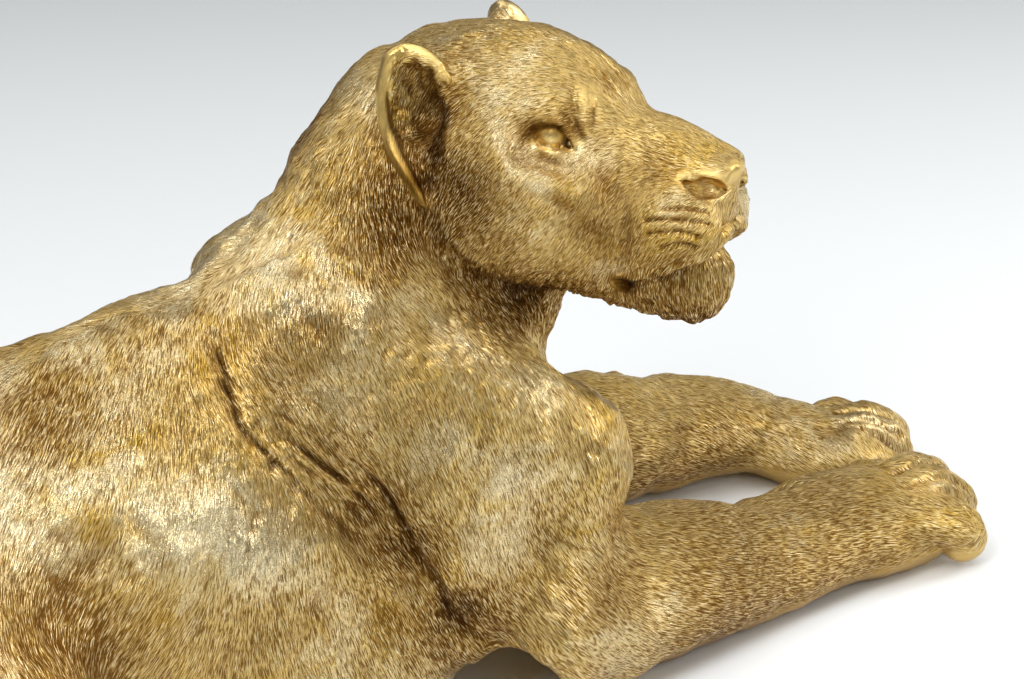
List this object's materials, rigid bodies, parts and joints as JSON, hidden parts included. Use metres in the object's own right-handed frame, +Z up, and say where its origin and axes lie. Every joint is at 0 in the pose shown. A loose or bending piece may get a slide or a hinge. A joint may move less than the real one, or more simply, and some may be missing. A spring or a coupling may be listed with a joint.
{
  "type": "lioness statue",
  "caption": "Cast statue of a lioness lying with forelegs stretched forward and raised head turned to its right; stands on its flat underside as a decorative figure.",
  "frame": {"origin": "on the flat underside, beneath the ribcage on the body's middle line", "axes": "+X toward the forepaws, +Y to the animal's left, +Z up"},
  "size_m": [1.1299, 0.3984, 0.4547],
  "materials": {
    "gold_cast": "carved fur in a gold finish with brown patina in the recesses"
  },
  "bodies": {
    "root": {"lioness": "gold_cast"}
  },
  "joints": []
}
